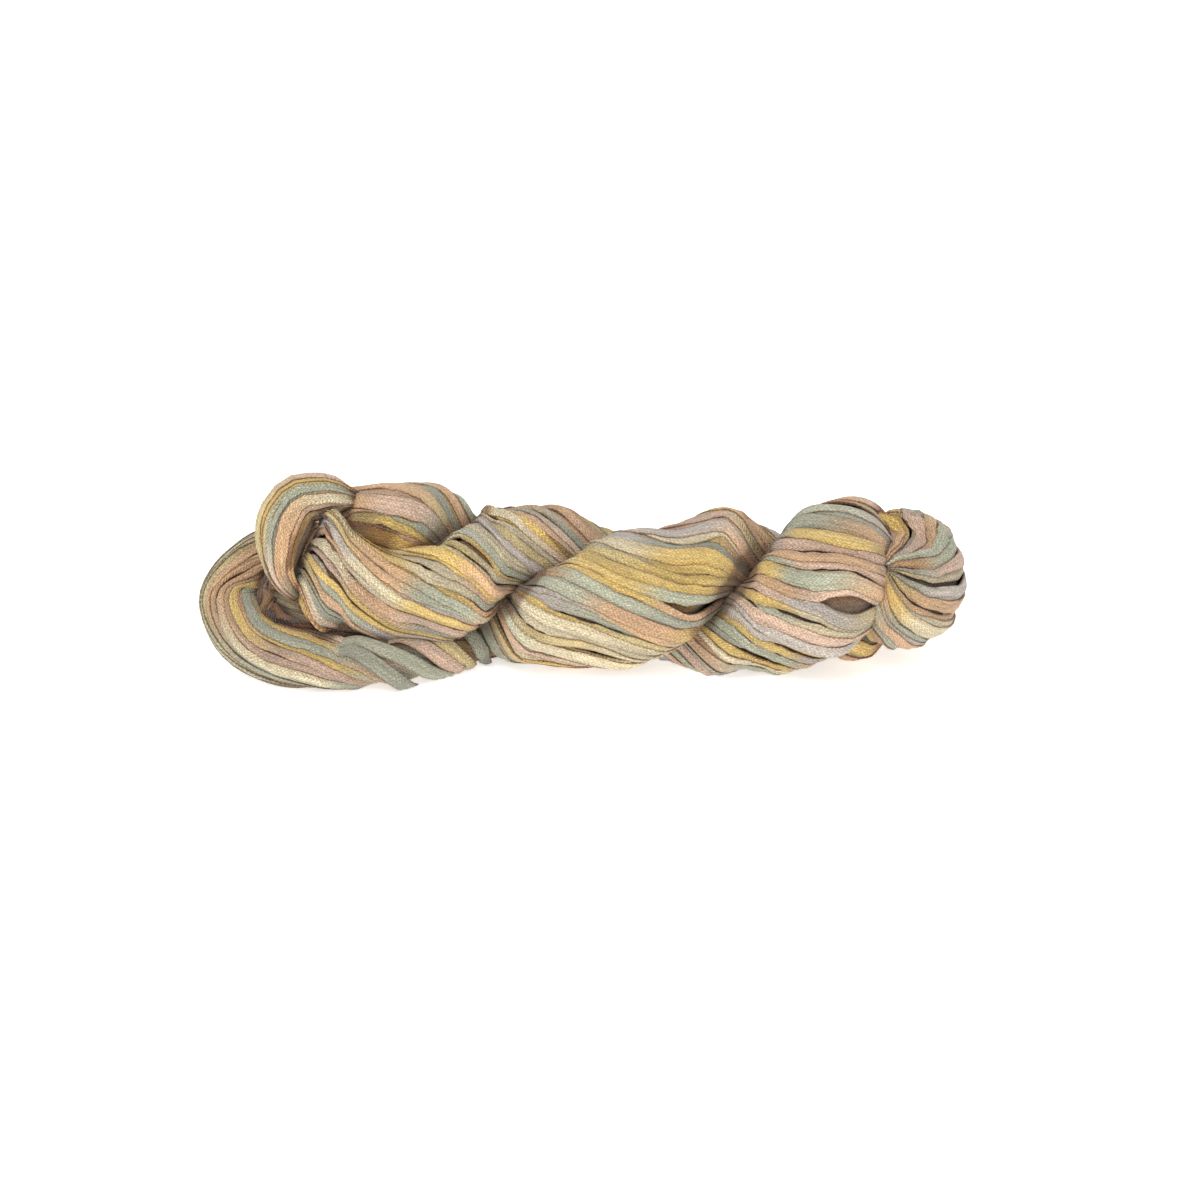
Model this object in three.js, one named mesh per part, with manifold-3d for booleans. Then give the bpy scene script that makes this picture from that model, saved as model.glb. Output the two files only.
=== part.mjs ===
// Skein of flat ribbon yarn lying on a table: a wound loop, twisted hard and folded in half, so that its two
// plies wrap round each other. The fold is at the right end, where the strands fan out round a dome. The loop's
// two ends are at the left: one makes a hood over the end of the plies, and the other an open loop that lies
// under them, with a few turns of yarn nested in it.
// Millimetres. X runs along the skein, Y away from the viewer, Z up. It rests on Z = 0.

import * as THREE from "three";
import { LoftGeometry } from "three/addons/geometries/LoftGeometry.js";
import { mergeVertices } from "three/addons/utils/BufferGeometryUtils.js";
import Module from "manifold-3d";

// Section of one ply where the skein is at its full size
const PLY_OFFSET = 15; // from the skein's axis to the middle of the ply
const PLY_HALF_THICK = 18; // away from the axis
const PLY_HALF_WIDE = 26.5; // round the axis
const PLY_SIDES = 24;
const PLY_STEP = 4; // between sections

// The two plies along the skein: its axis, the size of each ply against the full one, the direction in degrees
// from the axis to the first ply, where 0 faces the viewer and 90 is up, the slope of a section toward the left as
// it rises, and the turn of each ply's strands in degrees. The second ply is opposite the first.
const PLIES = [
  { x: -109, y: -8.5, z: 33, first: 0.1, second: 0.1, turn: 200, lean: 0, firstTwist: -60, secondTwist: 150 },
  { x: -107, y: -5.5, z: 33, first: 0.4, second: 0.34, turn: 200, lean: 0, firstTwist: -61, secondTwist: 110 },
  { x: -104.5, y: -4.5, z: 34, first: 0.58, second: 0.47, turn: 200, lean: 0, firstTwist: -62, secondTwist: 75 },
  { x: -101, y: -3, z: 35.5, first: 0.69, second: 0.63, turn: 200, lean: 0, firstTwist: -64, secondTwist: 35 },
  { x: -98, y: -2, z: 38.5, first: 0.73, second: 0.75, turn: 197, lean: 0, firstTwist: -66, secondTwist: 8 },
  { x: -95, y: -0.5, z: 42, first: 0.73, second: 0.84, turn: 190, lean: 0, firstTwist: -68, secondTwist: -12 },
  { x: -90, y: 0, z: 45, first: 0.72, second: 0.88, turn: 170, lean: 0, firstTwist: -71, secondTwist: -28 },
  { x: -86, y: 1, z: 43.5, first: 0.76, second: 0.92, turn: 152, lean: 0, firstTwist: -74, secondTwist: -36 },
  { x: -72, y: 0, z: 40.5, first: 0.91, second: 0.93, turn: 137, lean: 0, firstTwist: -84, secondTwist: -58 },
  { x: -58, y: 0, z: 38.5, first: 0.95, second: 0.87, turn: 149, lean: 0, firstTwist: -97, secondTwist: -84 },
  { x: -42, y: 0, z: 35, first: 0.92, second: 0.78, turn: 204, lean: 0.03, firstTwist: -134, secondTwist: -134 },
  { x: -23, y: 0, z: 31, first: 0.9, second: 0.9, turn: 295, lean: 0.2, firstTwist: -222, secondTwist: -222 },
  { x: 2, y: 0, z: 29, first: 0.88, second: 0.97, turn: 350, lean: 0.3, firstTwist: -280, secondTwist: -280 },
  { x: 20, y: 0, z: 26, first: 0.88, second: 0.92, turn: 385, lean: 0.4, firstTwist: -316, secondTwist: -316 },
  { x: 38, y: 0, z: 24.5, first: 0.87, second: 0.93, turn: 420, lean: 0.3, firstTwist: -354, secondTwist: -354 },
  { x: 57, y: 0, z: 29.5, first: 0.93, second: 0.93, turn: 475, lean: 0.16, firstTwist: -408, secondTwist: -408 },
  { x: 63, y: 0, z: 29.2, first: 0.9, second: 0.93, turn: 496, lean: 0.17, firstTwist: -433, secondTwist: -433 },
  { x: 68, y: 0, z: 28, first: 0.82, second: 0.93, turn: 520, lean: 0.18, firstTwist: -450, secondTwist: -450 },
  { x: 80, y: 1, z: 28, first: 0.72, second: 1, turn: 556, lean: 0.2, firstTwist: -482, secondTwist: -482 },
  { x: 94, y: 2, z: 29, first: 0.92, second: 1.07, turn: 580, lean: 0.2, firstTwist: -506, secondTwist: -506 },
  { x: 105, y: 4, z: 30, first: 0.86, second: 1, turn: 594, lean: 0.1, firstTwist: -522, secondTwist: -522 },
  { x: 112, y: 6, z: 30, first: 0.72, second: 0.86, turn: 606, lean: 0.05, firstTwist: -534, secondTwist: -534 },
  { x: 120, y: 7, z: 30, first: 0.5, second: 0.4, turn: 620, lean: 0, firstTwist: -548, secondTwist: -548 },
  { x: 126, y: 7, z: 30, first: 0.3, second: 0.2, turn: 630, lean: 0, firstTwist: -556, secondTwist: -556 },
];

// Bundles at the ends: the middle line, and the half width and half thickness of the bundle on it
const FOLD = [
  { at: 0, x: 111, y: -15, z: 45, wide: 1.5, thick: 1.5 },
  { at: 0.06, x: 111.5, y: -14.5, z: 44.5, wide: 7.5, thick: 7 },
  { at: 0.15, x: 113, y: -13, z: 42, wide: 14.5, thick: 13.5 },
  { at: 0.28, x: 116, y: -9, z: 37, wide: 21.5, thick: 20 },
  { at: 0.42, x: 118, y: -3, z: 34, wide: 25.5, thick: 25.2 },
  { at: 0.55, x: 118.5, y: 5, z: 32.5, wide: 26.7, thick: 26.3 },
  { at: 0.68, x: 118.5, y: 13, z: 32, wide: 25.5, thick: 24.8 },
  { at: 0.82, x: 117.5, y: 20, z: 32, wide: 20.5, thick: 19 },
  { at: 0.93, x: 115, y: 24, z: 32.5, wide: 12, thick: 10 },
  { at: 1, x: 113, y: 26, z: 33, wide: 2, thick: 2 },
];
const HOOD = [
  { at: 0, x: -83, y: 9, z: 62, wide: 2, thick: 2 },
  { at: 0.1, x: -90.5, y: 3, z: 66.5, wide: 6, thick: 5 },
  { at: 0.2, x: -97.5, y: -2, z: 69, wide: 9, thick: 8.3 },
  { at: 0.32, x: -104.8, y: -5, z: 68.5, wide: 12, thick: 9.5 },
  { at: 0.45, x: -110.5, y: -8, z: 61.5, wide: 14, thick: 10.5 },
  { at: 0.59, x: -113, y: -11, z: 53, wide: 13, thick: 8.7 },
  { at: 0.72, x: -113.3, y: -13, z: 45.7, wide: 11, thick: 6.2 },
  { at: 0.86, x: -111.5, y: -14, z: 39, wide: 8, thick: 4.2 },
  { at: 1, x: -106, y: -12, z: 30.5, wide: 2, thick: 2 },
];
const OPEN_LOOP = [
  { at: 0, x: -62, y: 20, z: 36, wide: 6, thick: 6 },
  { at: 0.15, x: -94, y: 25, z: 38, wide: 9, thick: 9 },
  { at: 0.3, x: -118, y: 20, z: 37, wide: 10, thick: 9.5 },
  { at: 0.42, x: -129.5, y: 10, z: 33, wide: 11, thick: 10 },
  { at: 0.52, x: -134, y: -3, z: 27, wide: 11, thick: 10 },
  { at: 0.62, x: -126, y: -16, z: 17.5, wide: 11, thick: 10.5 },
  { at: 0.74, x: -107, y: -22, z: 11.5, wide: 12, thick: 10.5 },
  { at: 0.8, x: -94, y: -21.5, z: 9.5, wide: 12, thick: 10 },
  { at: 0.86, x: -80, y: -19, z: 9, wide: 12, thick: 9.5 },
  { at: 0.92, x: -65, y: -11, z: 8.5, wide: 11, thick: 9 },
  { at: 1, x: -34, y: 2, z: 9, wide: 8, thick: 8 },
];
const INNER_LOOP = [
  { at: 0, x: -62, y: 12, z: 28, wide: 5, thick: 5 },
  { at: 0.15, x: -94, y: 16, z: 32, wide: 6, thick: 6 },
  { at: 0.32, x: -110, y: 12, z: 32, wide: 8, thick: 8 },
  { at: 0.45, x: -117, y: 4, z: 28, wide: 8.5, thick: 8.5 },
  { at: 0.57, x: -118, y: -6, z: 22.5, wide: 8.5, thick: 8.5 },
  { at: 0.68, x: -111, y: -13, z: 18, wide: 8, thick: 8 },
  { at: 0.8, x: -96, y: -14, z: 15.5, wide: 8, thick: 8 },
  { at: 1, x: -60, y: -4, z: 12, wide: 6, thick: 6 },
];
const NEST = [
  { at: 0, x: -119, y: 4, z: 25, wide: 5, thick: 5 },
  { at: 0.2, x: -113, y: 2, z: 24, wide: 13, thick: 13 },
  { at: 0.4, x: -105, y: 0, z: 22, wide: 17, thick: 17 },
  { at: 0.7, x: -90, y: -2, z: 20, wide: 18, thick: 16 },
  { at: 1, x: -66, y: 0, z: 18, wide: 10, thick: 10 },
];
const UPRIGHT = new THREE.Vector3(0, 0, 1); // the fold's strands fan out up and down
const DEEP = new THREE.Vector3(0, 1, 0); // those of the loops, front to back
const DEEP_DOWN = new THREE.Vector3(0, 0.9, -0.42); // those of the hood, away from the viewer
const BUNDLE_SIDES = 16;
const BUNDLE_STEPS = 26;

const TABLE_CUT = { x: 400, y: 200, z: 40 }; // what the table flattens

// Value of a column at a place along a table: a cubic through the rows that never overshoots them
function read(rows, by, key, place) {
  const last = rows.length - 1;
  let i = 0;
  while (i < last - 1 && place > rows[i + 1][by]) i += 1;
  const rise = (k) => (rows[k + 1][key] - rows[k][key]) / (rows[k + 1][by] - rows[k][by]);
  const slope = (k) => {
    const before = rise(Math.max(k - 1, 0));
    const after = rise(Math.min(k, last - 1));
    return before * after > 0 ? (2 * before * after) / (before + after) : 0;
  };
  const span = rows[i + 1][by] - rows[i][by];
  const t = (place - rows[i][by]) / span;
  const back = 1 - t;
  const from = rows[i][key] * (1 + 2 * t) + slope(i) * span * t;
  const to = rows[i + 1][key] * (3 - 2 * t) - slope(i + 1) * span * back;
  return from * back * back + to * t * t;
}

// Distance from the middle of an ellipse to its edge, at an angle from its first half axis
function edge(angle, half, otherHalf) {
  return 1 / Math.hypot(Math.cos(angle) / half, Math.sin(angle) / otherHalf);
}

// Evenly spaced angles, in the order that makes a loft face outward
function anglesRound(sides) {
  return Array.from({ length: sides }, (_, i) => (-2 * Math.PI * i) / sides);
}

// One ply: sections across the skein that turn round its axis, their points following the strands
function plySections(sizeKey, phase) {
  const start = PLIES[0];
  const length = PLIES.at(-1).x - start.x;
  const steps = Math.round(length / PLY_STEP);
  const direction = (angle) => new THREE.Vector3(0, -Math.cos(angle), Math.sin(angle));
  return Array.from({ length: steps + 1 }, (_, i) => {
    const x = start.x + (length * i) / steps;
    const turn = THREE.MathUtils.degToRad(read(PLIES, "x", "turn", x) + phase);
    const twist = THREE.MathUtils.degToRad(read(PLIES, "x", `${sizeKey}Twist`, x) + phase);
    const lean = read(PLIES, "x", "lean", x);
    const size = read(PLIES, "x", sizeKey, x);
    const axis = new THREE.Vector3(x, read(PLIES, "x", "y", x), read(PLIES, "x", "z", x));
    const middle = axis.clone().addScaledVector(direction(turn), size * PLY_OFFSET);
    return anglesRound(PLY_SIDES).map((angle) => {
      const way = angle + twist;
      const reach = edge(way - turn, PLY_HALF_THICK, PLY_HALF_WIDE);
      const point = middle.clone().addScaledVector(direction(way), size * reach);
      point.x -= lean * (point.z - axis.z);
      return point;
    });
  });
}

// A bundle of strands: elliptical sections square to its middle line, wide along one direction
function bundleSections(rows, wideAlong) {
  const middle = (at) => new THREE.Vector3(...["x", "y", "z"].map((key) => read(rows, "at", key, at)));
  const near = 0.5 / BUNDLE_STEPS;
  return Array.from({ length: BUNDLE_STEPS + 1 }, (_, i) => {
    const at = i / BUNDLE_STEPS;
    const along = middle(Math.min(at + near, 1)).sub(middle(Math.max(at - near, 0))).normalize();
    const across = wideAlong.clone().addScaledVector(along, -wideAlong.dot(along)).normalize();
    const outward = along.clone().cross(across);
    return anglesRound(BUNDLE_SIDES).map((angle) =>
      middle(at)
        .addScaledVector(outward, read(rows, "at", "thick", at) * Math.cos(angle))
        .addScaledVector(across, read(rows, "at", "wide", at) * Math.sin(angle)),
    );
  });
}

const wasm = await Module();
wasm.setup();

function solid(shape) {
  const surface = new THREE.BufferGeometry();
  surface.setAttribute("position", shape.attributes.position);
  surface.setIndex(shape.index);
  const merged = mergeVertices(surface);
  return new wasm.Manifold(
    new wasm.Mesh({
      numProp: 3,
      vertProperties: new Float32Array(merged.attributes.position.array),
      triVerts: new Uint32Array(merged.index.array),
    }),
  );
}

function loft(sections) {
  return solid(new LoftGeometry(sections, { capStart: true, capEnd: true }));
}

function geometryOf(manifold) {
  const mesh = manifold.getMesh();
  const geometry = new THREE.BufferGeometry();
  geometry.setAttribute("position", new THREE.BufferAttribute(mesh.vertProperties, mesh.numProp));
  geometry.setIndex(new THREE.BufferAttribute(mesh.triVerts, 1));
  geometry.computeVertexNormals();
  return geometry;
}

const table = new THREE.BoxGeometry(TABLE_CUT.x, TABLE_CUT.y, TABLE_CUT.z);
table.translate(0, 0, -TABLE_CUT.z / 2);

const strands = loft(plySections("first", 0))
  .add(loft(plySections("second", 180)))
  .add(loft(bundleSections(FOLD, UPRIGHT)))
  .add(loft(bundleSections(HOOD, DEEP_DOWN)))
  .add(loft(bundleSections(OPEN_LOOP, DEEP)))
  .add(loft(bundleSections(INNER_LOOP, DEEP)))
  .add(loft(bundleSections(NEST, DEEP)))
  .subtract(solid(table));

// Inside the hood and the fold the strands close off small hollows, which are full of yarn: only the outer
// shell is kept.
const form = strands.decompose().reduce((outer, shell) => (shell.volume() > outer.volume() ? shell : outer));

const skein = new THREE.Mesh(
  geometryOf(form),
  new THREE.MeshStandardMaterial({ color: "#cdbfa6", roughness: 0.9, metalness: 0 }),
);
skein.name = "skein";

const group = new THREE.Group();
group.add(skein);
export default group;
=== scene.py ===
"""Looks of a skein of ribbon yarn: soft knitted tape in pale dyes, wound into a hank, twisted and folded.

The hank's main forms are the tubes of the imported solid: two plies wrapped round each other, the fold at
the right end, and the hood and the open loop at the left. Every tube is covered with single ribbons that
lie over and under their neighbours. Tables are in millimetres and the meshes in metres, in the frame of
the solid.
"""

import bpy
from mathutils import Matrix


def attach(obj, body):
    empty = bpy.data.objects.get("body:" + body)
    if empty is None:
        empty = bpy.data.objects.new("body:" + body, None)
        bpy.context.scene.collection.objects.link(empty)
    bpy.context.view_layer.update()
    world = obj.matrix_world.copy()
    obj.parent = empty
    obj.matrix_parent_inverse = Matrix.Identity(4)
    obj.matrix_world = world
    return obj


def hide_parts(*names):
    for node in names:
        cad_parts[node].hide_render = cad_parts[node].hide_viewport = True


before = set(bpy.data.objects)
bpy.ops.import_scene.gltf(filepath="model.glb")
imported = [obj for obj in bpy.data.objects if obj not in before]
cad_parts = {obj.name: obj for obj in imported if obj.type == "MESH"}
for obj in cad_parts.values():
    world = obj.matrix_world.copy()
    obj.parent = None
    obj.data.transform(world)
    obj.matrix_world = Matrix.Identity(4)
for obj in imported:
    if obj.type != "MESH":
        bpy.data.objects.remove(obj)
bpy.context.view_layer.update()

import math
from collections import namedtuple

import bmesh
import bpy
import numpy as np
from mathutils import Vector

bl_info = {
    "name": "Ribbon yarn skein",
    "version": (1, 0, 0),
    "blender": (4, 5, 0),
    "location": "View3D > Sidebar > Skein",
    "description": "Winds knitted ribbon yarn over the packed solid of a twisted skein",
    "category": "Add Mesh",
}

MM = 0.001
NODE = "skein"
BODY = "root"
PLY_PIECES = ("first_ply_ribbons", "second_ply_ribbons")
LOOP_PIECES = ("open_loop_ribbons", "inner_loop_ribbons", "nest_ribbons")


# Section of one ply where the skein is at its full size

PLY_OFFSET = 15
PLY_HALF_THICK = 18
PLY_HALF_WIDE = 26.5

# The plies along the skein: its axis, the size of each ply, and the direction in degrees to the first one

Station = namedtuple("Station", "x y z first second turn lean first_twist second_twist")
PLIES = (
    Station(-109, -8.5, 33, 0.10, 0.10, 200, 0.0, -60, 150),
    Station(-107, -5.5, 33, 0.40, 0.34, 200, 0.0, -61, 110),
    Station(-104.5, -4.5, 34, 0.58, 0.47, 200, 0.0, -62, 75),
    Station(-101, -3, 35.5, 0.69, 0.63, 200, 0.0, -64, 35),
    Station(-98, -2, 38.5, 0.73, 0.75, 197, 0.0, -66, 8),
    Station(-95, -0.5, 42, 0.73, 0.84, 190, 0.0, -68, -12),
    Station(-90, 0, 45, 0.72, 0.88, 170, 0.0, -71, -28),
    Station(-86, 1, 43.5, 0.76, 0.92, 152, 0.0, -74, -36),
    Station(-72, 0, 40.5, 0.91, 0.93, 137, 0.0, -84, -58),
    Station(-58, 0, 38.5, 0.95, 0.87, 149, 0.0, -97, -84),
    Station(-42, 0, 35, 0.92, 0.78, 204, 0.03, -134, -134),
    Station(-23, 0, 31, 0.90, 0.90, 295, 0.2, -222, -222),
    Station(2, 0, 29, 0.88, 0.97, 350, 0.3, -280, -280),
    Station(20, 0, 26, 0.88, 0.92, 385, 0.4, -316, -316),
    Station(38, 0, 24.5, 0.87, 0.93, 420, 0.3, -354, -354),
    Station(57, 0, 29.5, 0.93, 0.93, 475, 0.16, -408, -408),
    Station(63, 0, 29.2, 0.90, 0.93, 496, 0.17, -433, -433),
    Station(68, 0, 28, 0.82, 0.93, 520, 0.18, -450, -450),
    Station(80, 1, 28, 0.72, 1.00, 556, 0.2, -482, -482),
    Station(94, 2, 29, 0.92, 1.07, 580, 0.2, -506, -506),
    Station(105, 4, 30, 0.86, 1.00, 594, 0.1, -522, -522),
    Station(112, 6, 30, 0.72, 0.86, 606, 0.05, -534, -534),
    Station(120, 7, 30, 0.50, 0.40, 620, 0.0, -548, -548),
    Station(126, 7, 30, 0.30, 0.20, 630, 0.0, -556, -556),
)

# Bundles at the ends: the middle line, half the width and thickness, and the strands' turn in degrees

Bend = namedtuple("Bend", "at x y z wide thick twist")
FOLD = (
    Bend(0.0, 111, -15, 45, 1.5, 1.5, 0),
    Bend(0.06, 111.5, -14.5, 44.5, 7.5, 7, 0),
    Bend(0.15, 113, -13, 42, 14.5, 13.5, 0),
    Bend(0.28, 116, -9, 37, 21.5, 20, 0),
    Bend(0.42, 118, -3, 34, 25.5, 25.2, 0),
    Bend(0.55, 118.5, 5, 32.5, 26.7, 26.3, 0),
    Bend(0.68, 118.5, 13, 32, 25.5, 24.8, 0),
    Bend(0.82, 117.5, 20, 32, 20.5, 19, 0),
    Bend(0.93, 115, 24, 32.5, 12, 10, 0),
    Bend(1.0, 113, 26, 33, 2, 2, 0),
)
HOOD = (
    Bend(0.0, -83, 9, 62, 2, 2, 0),
    Bend(0.1, -90.5, 3, 66.5, 6, 5, 0),
    Bend(0.2, -97.5, -2, 69, 9, 8.3, 0),
    Bend(0.32, -104.8, -5, 68.5, 12, 9.5, 0),
    Bend(0.45, -110.5, -8, 61.5, 14, 10.5, 0),
    Bend(0.59, -113, -11, 53, 13, 8.7, 0),
    Bend(0.72, -113.3, -13, 45.7, 11, 6.2, 0),
    Bend(0.86, -111.5, -14, 39, 8, 4.2, 0),
    Bend(1.0, -106, -12, 30.5, 2, 2, 0),
)
OPEN_LOOP = (
    Bend(0.0, -62, 20, 36, 6, 6, 0),
    Bend(0.15, -94, 25, 38, 9, 9, 0),
    Bend(0.3, -118, 20, 37, 10, 9.5, 0),
    Bend(0.42, -129.5, 10, 33, 11, 10, 0),
    Bend(0.52, -134, -3, 27, 11, 10, 0),
    Bend(0.62, -126, -16, 17.5, 11, 10.5, 0),
    Bend(0.74, -107, -22, 11.5, 12, 10.5, -5),
    Bend(0.8, -94, -21.5, 9.5, 12, 10, -30),
    Bend(0.86, -80, -19, 9, 12, 9.5, -80),
    Bend(0.92, -65, -11, 8.5, 11, 9, -140),
    Bend(1.0, -34, 2, 9, 8, 8, -200),
)
INNER_LOOP = (
    Bend(0.0, -62, 12, 28, 5, 5, 0),
    Bend(0.15, -94, 16, 32, 6, 6, 0),
    Bend(0.32, -110, 12, 32, 8, 8, 20),
    Bend(0.45, -117, 4, 28, 8.5, 8.5, 40),
    Bend(0.57, -118, -6, 22.5, 8.5, 8.5, 60),
    Bend(0.68, -111, -13, 18, 8, 8, 80),
    Bend(0.8, -96, -14, 15.5, 8, 8, 100),
    Bend(1.0, -60, -4, 12, 6, 6, 120),
)
NEST = (
    Bend(0.0, -119, 4, 25, 5, 5, 0),
    Bend(0.2, -113, 2, 24, 13, 13, 0),
    Bend(0.4, -105, 0, 22, 17, 17, 0),
    Bend(0.7, -90, -2, 20, 18, 16, 0),
    Bend(1.0, -66, 0, 18, 10, 10, 0),
)
UPRIGHT = np.array((0.0, 0.0, 1.0))
DEEP = np.array((0.0, 1.0, 0.0))
DEEP_DOWN = np.array((0.0, 0.9, -0.42))

# Steps along a strand and round a tube

STEP = 2.3
ROUND = 180
ROUGH_STEPS = 600

# Section of a ribbon: sideways reaches, then each point's reach, rise in half thicknesses, and painted
# shade

REACHES = np.array((1.0, 0.86, 0.4, -0.4, -0.86, -1.0))
# The painted shade darkens each ribbon's colour at its edges and underside, where shade falls between
# ribbons.
BAND = (
    (0, 0.0, 0.3), (1, 0.7, 0.9), (2, 0.97, 1.0), (3, 0.97, 1.0), (4, 0.7, 0.9),
    (5, 0.0, 0.3), (4, -1.6, 0.3), (3, -2.6, 0.3), (2, -2.6, 0.3), (1, -1.6, 0.3),
)
BAND_REACH = [reach for reach, _, _ in BAND]
BAND_PAINTED_SHADE = np.array([shade for _, _, shade in BAND])
BAND_CAP = np.array(((0, 1, 8, 9), (1, 2, 7, 8), (2, 3, 6, 7), (3, 4, 5, 6)))
LEFT_EDGE = np.array((1, 1, 0, 0, 0, 0))

# Uneven lie of the ribbons: how far each thing swings, and over what length

SIDE_WANDER = 0.52
SIDE_WAVE = 55.0
LEVEL_SWING = 0.7
LEVEL_WAVE = 60.0
TILT_SWING = 0.8
TILT_WAVE = 55.0
PUCKER = 0.35
PUCKER_WAVE = 8.0
WIDTH_RANGE = (0.7, 1.35)
WIDTH_SWING = 0.1
WIDTH_WAVE = 30.0
EDGE_SWING = 0.4
EDGE_WAVE = 7.0
EDGE_LEAST = 1.5
WIDEST_SHARE = 1.35
CURL = 0.6
CURL_BEND = 1.8

# Pile of ribbons: cells to a lane, how lifts settle, how flat it is pressed, strays and crowding

CELLS = 10
SETTLE = np.array((1.0, 2.0, 3.0, 2.0, 1.0)) / 9
PRESSED = 0.85
STRAYS = 4
STRAY_DRIFT = 3.0
HOOD_CROWDING = 1.55
LOOP_CROWDING = 1.4
FLOOR_GAP = 0.02

# Layers: how deep each lies below the solid's surface, and how the inner one differs

OUTER_DEPTH = 1.2
INNER_DEPTH = 3.9
DEEPEST_SHARE = 0.5
INNER_BREADTH = 2.4
INNER_SWING = 0.25
INSIDE_LEAN = 0.55
INNER_INSIDE_LEAN = -0.2
CORE_DEPTH = 5.0
CORE_SIDES = 24
CORE_LEAST = 0.3

# Painted shade between the ribbons, on the inner layer and loops, low ribbons and creases, warmer than grey

INNER_SHADE = 0.3
INNER_LOOP_SHADE = 0.36
LEVEL_SHADE = 0.22
CREASE_SHADE = 0.3
FOLD_CREASE_SHADE = 0.85
CREASE_REACH = 0.13
SHADE_WARMTH = np.array((0.75, 1.0, 1.3))

# Slit near the right end, where the ribbons part

PARTING = (98.0, -27.0, 38.0)
PARTING_LENGTH = 36.0
PARTING_LANES = 0.9
PARTING_REACH = 2.5

# Ribbons that cross the open loop and turn under it: where they run along and round it, and their dye

Tip = namedtuple("Tip", "start end top bottom dye")
LOOP_TIPS = (
    Tip(0.955, 0.985, 1.02, 0.62, "grey"),
    Tip(0.9, 0.972, 1.0, 0.64, "beige"),
    Tip(0.865, 0.96, 0.98, 0.65, "pink"),
    Tip(0.77, 0.952, 0.98, 0.63, "sage"),
    Tip(0.785, 0.912, 0.92, 0.61, "grey"),
)
TIP_BREADTH = 0.84
TIP_SINK = 2.5
TIP_LIFT = 1.8
TIP_PILE = 0.5
TIP_RISE = 0.3
TIP_TURN = 1.4

# Photograph's view

VIEW_TARGET = (5.7, 0.0, 25.0)
VIEW_DISTANCE = 1073.0
VIEW_ELEVATION = 25.0
VIEW_LENS = 85.0
VIEW_SENSOR = 36.0
VIEW_TILT = math.radians(VIEW_ELEVATION)
TO_VIEWER = np.array((0.0, -math.cos(VIEW_TILT), math.sin(VIEW_TILT)))
VIEW_UP = np.array((0.0, math.sin(VIEW_TILT), math.cos(VIEW_TILT)))
VIEW_RIGHT = np.array((1.0, 0.0, 0.0))

# Order of the dyed colours across a form, where it faces the viewer

Chart = namedtuple("Chart", "place along colours")
FIRST_PLY_CHARTS = (
    Chart(-71, -VIEW_UP, "cream peach peach mauve pink pink sage sage gold gold grey"),
    Chart(-15, -VIEW_UP, "lavender gold cream sage cream beige cream grey pink cream gold"),
    Chart(15, -VIEW_UP, "sage beige gold gold gold gold sage mauve mauve peach sage beige cream sage"
          " cream cream gold"),
    Chart(44, -VIEW_UP, "pink pink sage lavender cream gold grey gold gold gold gold sage mauve peach"
          " brown"),
    Chart(108, -VIEW_UP, "grey sage brown gold pink lavender sage"),
)
SECOND_PLY_CHARTS = (
    Chart(-77, -VIEW_UP, "peach peach cream cream mauve mauve gold gold lavender pink pink cream"),
    Chart(-29, -VIEW_UP, "mauve gold peach gold cream cream beige lavender lavender cream cream sage"
          " gold cream cream"),
    Chart(69, -VIEW_UP, "sage gold pink peach pink gold sage pink lavender cream lavender gold sage"
          " sage gold cream peach"),
    Chart(87, -VIEW_UP, "sage sage sage sage gold pink peach peach pink gold sage sage pink grey"
          " lavender cream cream sage pink pink lavender lavender gold sage"),
)
FOLD_CHARTS = (
    Chart(0.32, -VIEW_UP, "gold cream pink pink gold peach sage sage pink cream lavender lavender peach"
          " peach lavender cream gold gold brown sage lavender mauve sage"),
)
HOOD_CHARTS = (
    Chart(0.5, VIEW_RIGHT, "beige gold beige sage sage peach peach gold lavender lavender sage"),
)
OPEN_LOOP_CHARTS = (
    Chart(0.5, VIEW_RIGHT, "sage sage beige beige peach peach peach gold mauve grey"),
    Chart(0.76, -VIEW_UP, "grey mauve gold gold cream grey gold pink pink cream sage sage"),
    Chart(0.88, -VIEW_UP, "grey sage sage pink pink sage sage mauve grey sage"),
)

# How the dyes run along a ribbon, and which ribbons face the viewer

CHART_GAP = 60.0
DYE_SHIFT = 0.2
DYE_START = 0.25
DYE_BLEND = 0.5
SHADE_SWING = 0.06
SHADE_WAVE = 45.0
LEAST_FACING = 0.05
LEAST_OUTWARD = -0.4


def linear(hex_colour):
    """Linear colour of an sRGB hex value."""
    channels = [int(hex_colour[i:i + 2], 16) / 255 for i in (1, 3, 5)]
    return tuple(c / 12.92 if c <= 0.04045 else ((c + 0.055) / 1.055) ** 2.4 for c in channels)


def dye_property(name, hex_colour):
    """Colour property of one dye."""
    return bpy.props.FloatVectorProperty(
        name=name, description=f"Dye of the {name.lower()} stretches of ribbon", subtype="COLOR",
        size=3, min=0.0, max=1.0, default=linear(hex_colour))


class RibbonSizes(bpy.types.PropertyGroup):
    """Sizes of the ribbon"""
    width: bpy.props.FloatProperty(
        name="Ribbon width", description="Width of the flat ribbon", default=7.4 * MM, unit="LENGTH")
    thickness: bpy.props.FloatProperty(
        name="Ribbon thickness", description="Thickness of the flat ribbon", default=0.9 * MM,
        unit="LENGTH")
    spacing: bpy.props.FloatProperty(
        name="Spacing", description="Distance from one ribbon to the next", default=5.0 * MM,
        unit="LENGTH")
    seed: bpy.props.IntProperty(
        name="Seed", description="Start of the ribbons' uneven lie", default=7)


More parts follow.
